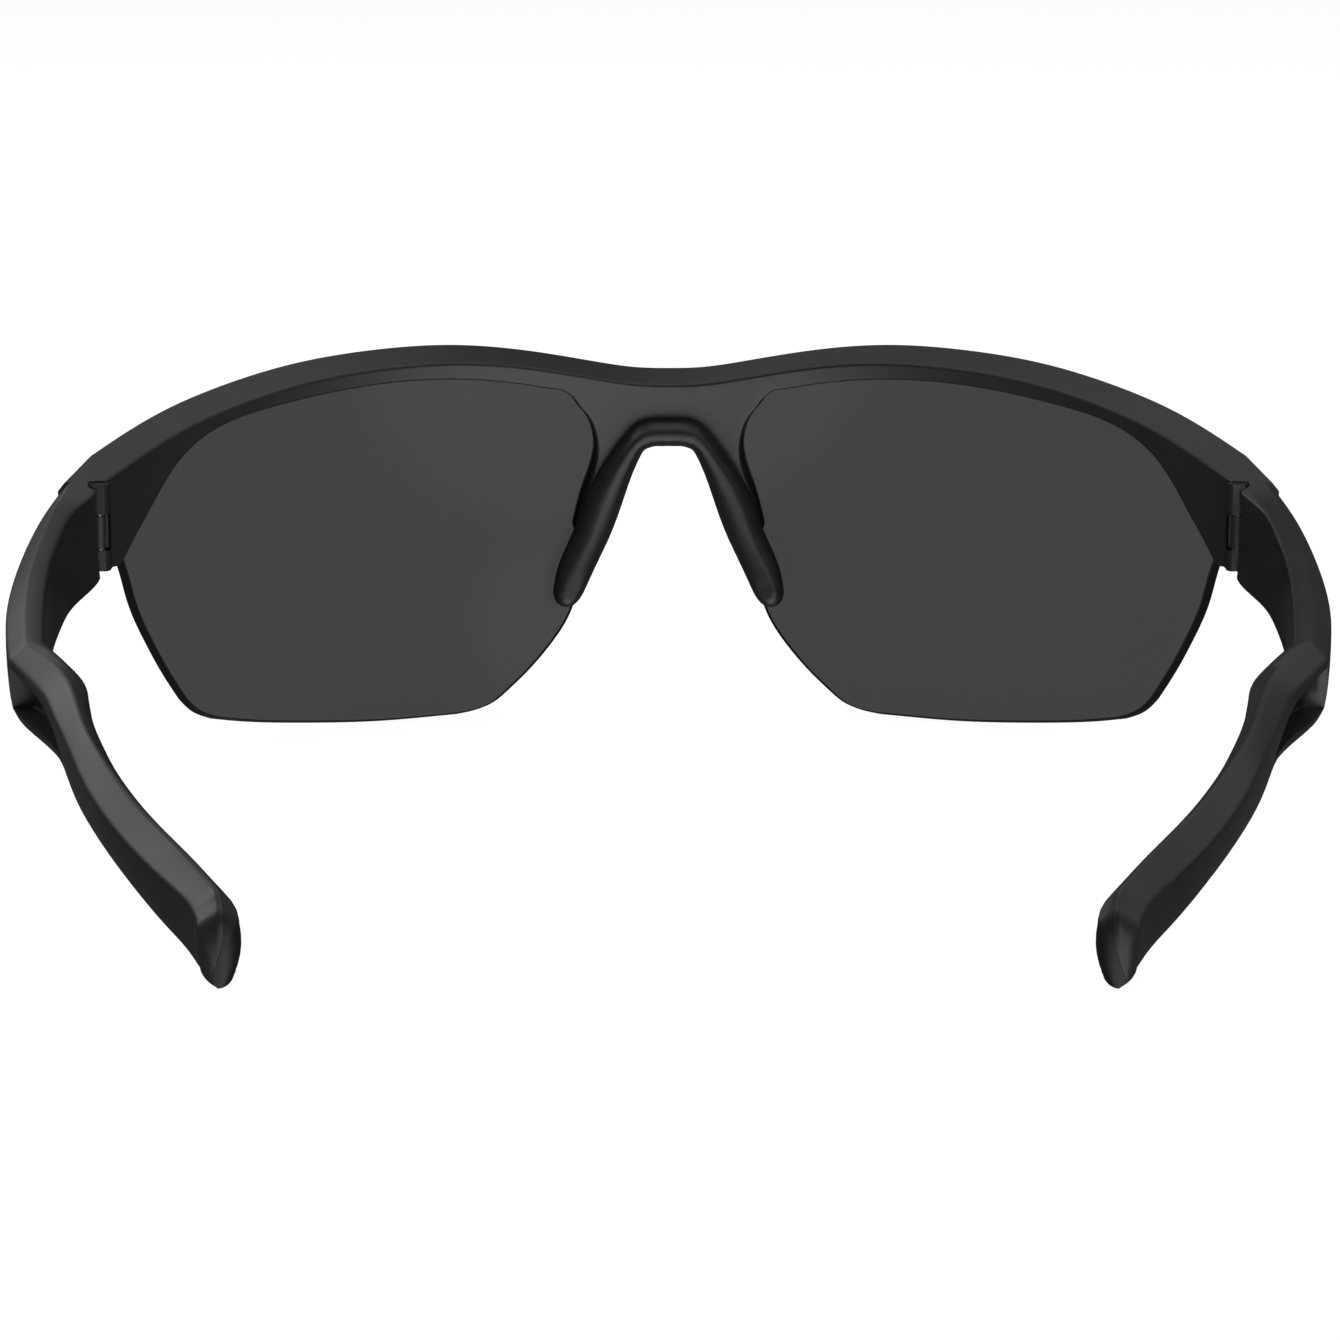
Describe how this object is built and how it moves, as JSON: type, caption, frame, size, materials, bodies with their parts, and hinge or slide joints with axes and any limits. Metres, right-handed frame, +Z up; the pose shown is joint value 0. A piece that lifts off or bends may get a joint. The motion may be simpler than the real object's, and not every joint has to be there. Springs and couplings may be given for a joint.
{
  "type": "wraparound sport sunglasses",
  "caption": "Wraparound sport sunglasses with two dark lenses hung from a brow frame, a soft saddle nose pad and folding arms with rubber grips.",
  "frame": {"origin": "centre of the footprint of the bounding box, at the height the glasses stand on", "axes": "+X to the wearer's left, -Y the way the wearer looks, +Z up; arms open"},
  "size_m": [0.1442, 0.1431, 0.0447],
  "materials": {
    "frame_nylon": "matte black moulded nylon",
    "smoke_lens": "polished dark grey polycarbonate",
    "soft_rubber": "soft matte black rubber",
    "core_metal": "plain bendable strip",
    "screw_steel": "plain steel",
    "insert_brass": "plain brass"
  },
  "bodies": {
    "front": {"front_frame": "frame_nylon", "left_lens": "smoke_lens", "right_lens": "smoke_lens", "nose_pad": "soft_rubber", "nose_pad_core": "core_metal", "left_hinge_screw": "screw_steel", "right_hinge_screw": "screw_steel", "left_hinge_insert": "insert_brass", "right_hinge_insert": "insert_brass"},
    "left_arm": {"left_temple": "frame_nylon", "left_temple_grip": "soft_rubber"},
    "right_arm": {"right_temple": "frame_nylon", "right_temple_grip": "soft_rubber"}
  },
  "joints": [
    {"name": "left_arm_hinge", "type": "hinge", "parent": "front", "child": "left_arm", "pos_m": [0.06515, -0.0341, 0.02715], "axis": [0, 0, 1], "range_deg": [0, 82]},
    {"name": "right_arm_hinge", "type": "hinge", "parent": "front", "child": "right_arm", "pos_m": [-0.06515, -0.0341, 0.02715], "axis": [0, 0, -1], "range_deg": [0, 74]}
  ]
}
